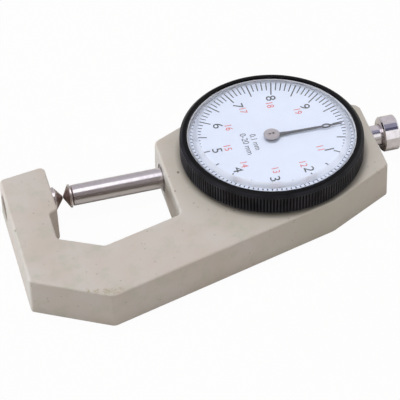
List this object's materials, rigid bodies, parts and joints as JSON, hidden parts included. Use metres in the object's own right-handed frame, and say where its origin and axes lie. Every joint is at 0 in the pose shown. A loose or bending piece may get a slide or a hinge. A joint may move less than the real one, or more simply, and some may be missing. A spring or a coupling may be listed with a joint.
{
  "type": "dial_thickness_gauge",
  "caption": "Dial thickness gauge: painted cast C frame, fixed anvil, sprung spindle with pull knob, rack and pinion movement under a knurled turning bezel.",
  "frame": {"origin": "On the dial's axis, at the flat back face that the gauge lies on, in the middle of the back cover.", "axes": "+X runs from the anvil to the pull knob, along the spindle; +Z points out of the dial; +Y points away from the front bar of the C frame."},
  "size_m": [0.0952, 0.0566, 0.0163],
  "materials": {
    "frame_paint": "matt grey-beige enamel over a casting, fine orange peel, small dark specks, worn along the front edge",
    "contact_steel": "turned steel contacts, slightly dark, fine rings",
    "spindle_steel": "ground and plated round bar, fine lengthwise marks",
    "knob_chrome": "polished plated knob with turned end face",
    "bright_steel": "bright zinc-plated steel",
    "movement_brass": "machined brass, unpolished",
    "bezel_black": "black anodised aluminium, fine straight knurl, satin rounded shoulder",
    "dial_white": "cool white enamelled dial with printed black and red scales",
    "crystal_clear": "clear moulded acrylic, slightly domed window with a bevelled edge",
    "gasket_tan": "thin tan sealing ring round the crystal",
    "pointer_dark": "dark grey lacquered sheet pointer",
    "cap_metal": "satin turned cap"
  },
  "bodies": {
    "frame": {"frame_casting": "frame_paint", "anvil": "contact_steel", "front_spindle_bush": "bright_steel", "rear_spindle_bush": "bright_steel", "back_cover": "frame_paint", "back_cover_screw_1": "bright_steel", "back_cover_screw_2": "bright_steel", "back_cover_screw_3": "bright_steel", "movement_plate": "movement_brass", "movement_plate_screw_1": "bright_steel", "movement_plate_screw_2": "bright_steel", "movement_plate_screw_3": "bright_steel", "guide_rail": "bright_steel", "guide_rail_screw_1": "bright_steel", "guide_rail_screw_2": "bright_steel", "spring_post": "bright_steel", "return_spring": "bright_steel", "lower_bridge": "movement_brass", "bridge_pillar_left": "movement_brass", "bridge_pillar_right": "movement_brass", "bridge_screw_left": "bright_steel", "bridge_screw_right": "bright_steel", "lower_pivot_bearing": "movement_brass", "upper_pivot_bearing": "movement_brass", "hairspring_stud": "movement_brass", "hairspring": "bright_steel", "bezel_snap_ring": "bright_steel"},
    "spindle": {"spindle_rod": "spindle_steel", "contact_tip": "contact_steel", "guide_pin": "bright_steel", "pull_knob": "knob_chrome"},
    "pointer": {"pinion_arbor": "bright_steel", "hairspring_collet": "movement_brass", "pointer_hub": "pointer_dark", "pointer_needle": "pointer_dark", "pointer_cap": "cap_metal"},
    "bezel": {"bezel_ring": "bezel_black", "dial_plate": "dial_white", "crystal": "crystal_clear", "crystal_gasket": "gasket_tan"}
  },
  "joints": [
    {"name": "spindle_slide", "type": "slide", "parent": "frame", "child": "spindle", "axis": [1, 0, 0], "range_m": [0, 0.02], "stiffness_N_per_m": 50, "springref_m": -0.02, "deforming": ["return_spring"]},
    {"name": "pointer_turn", "type": "hinge", "parent": "frame", "child": "pointer", "pos_m": [0, 0, 0.0048], "axis": [0, 0, 1], "range_deg": [-720, 0]},
    {"name": "bezel_turn", "type": "hinge", "parent": "frame", "child": "bezel", "pos_m": [0, 0, 0.0125], "axis": [0, 0, 1], "continuous": true}
  ],
  "couplings": [
    {"joint": "pointer_turn", "follows": "spindle_slide", "rad_per_m": -628.32}
  ]
}
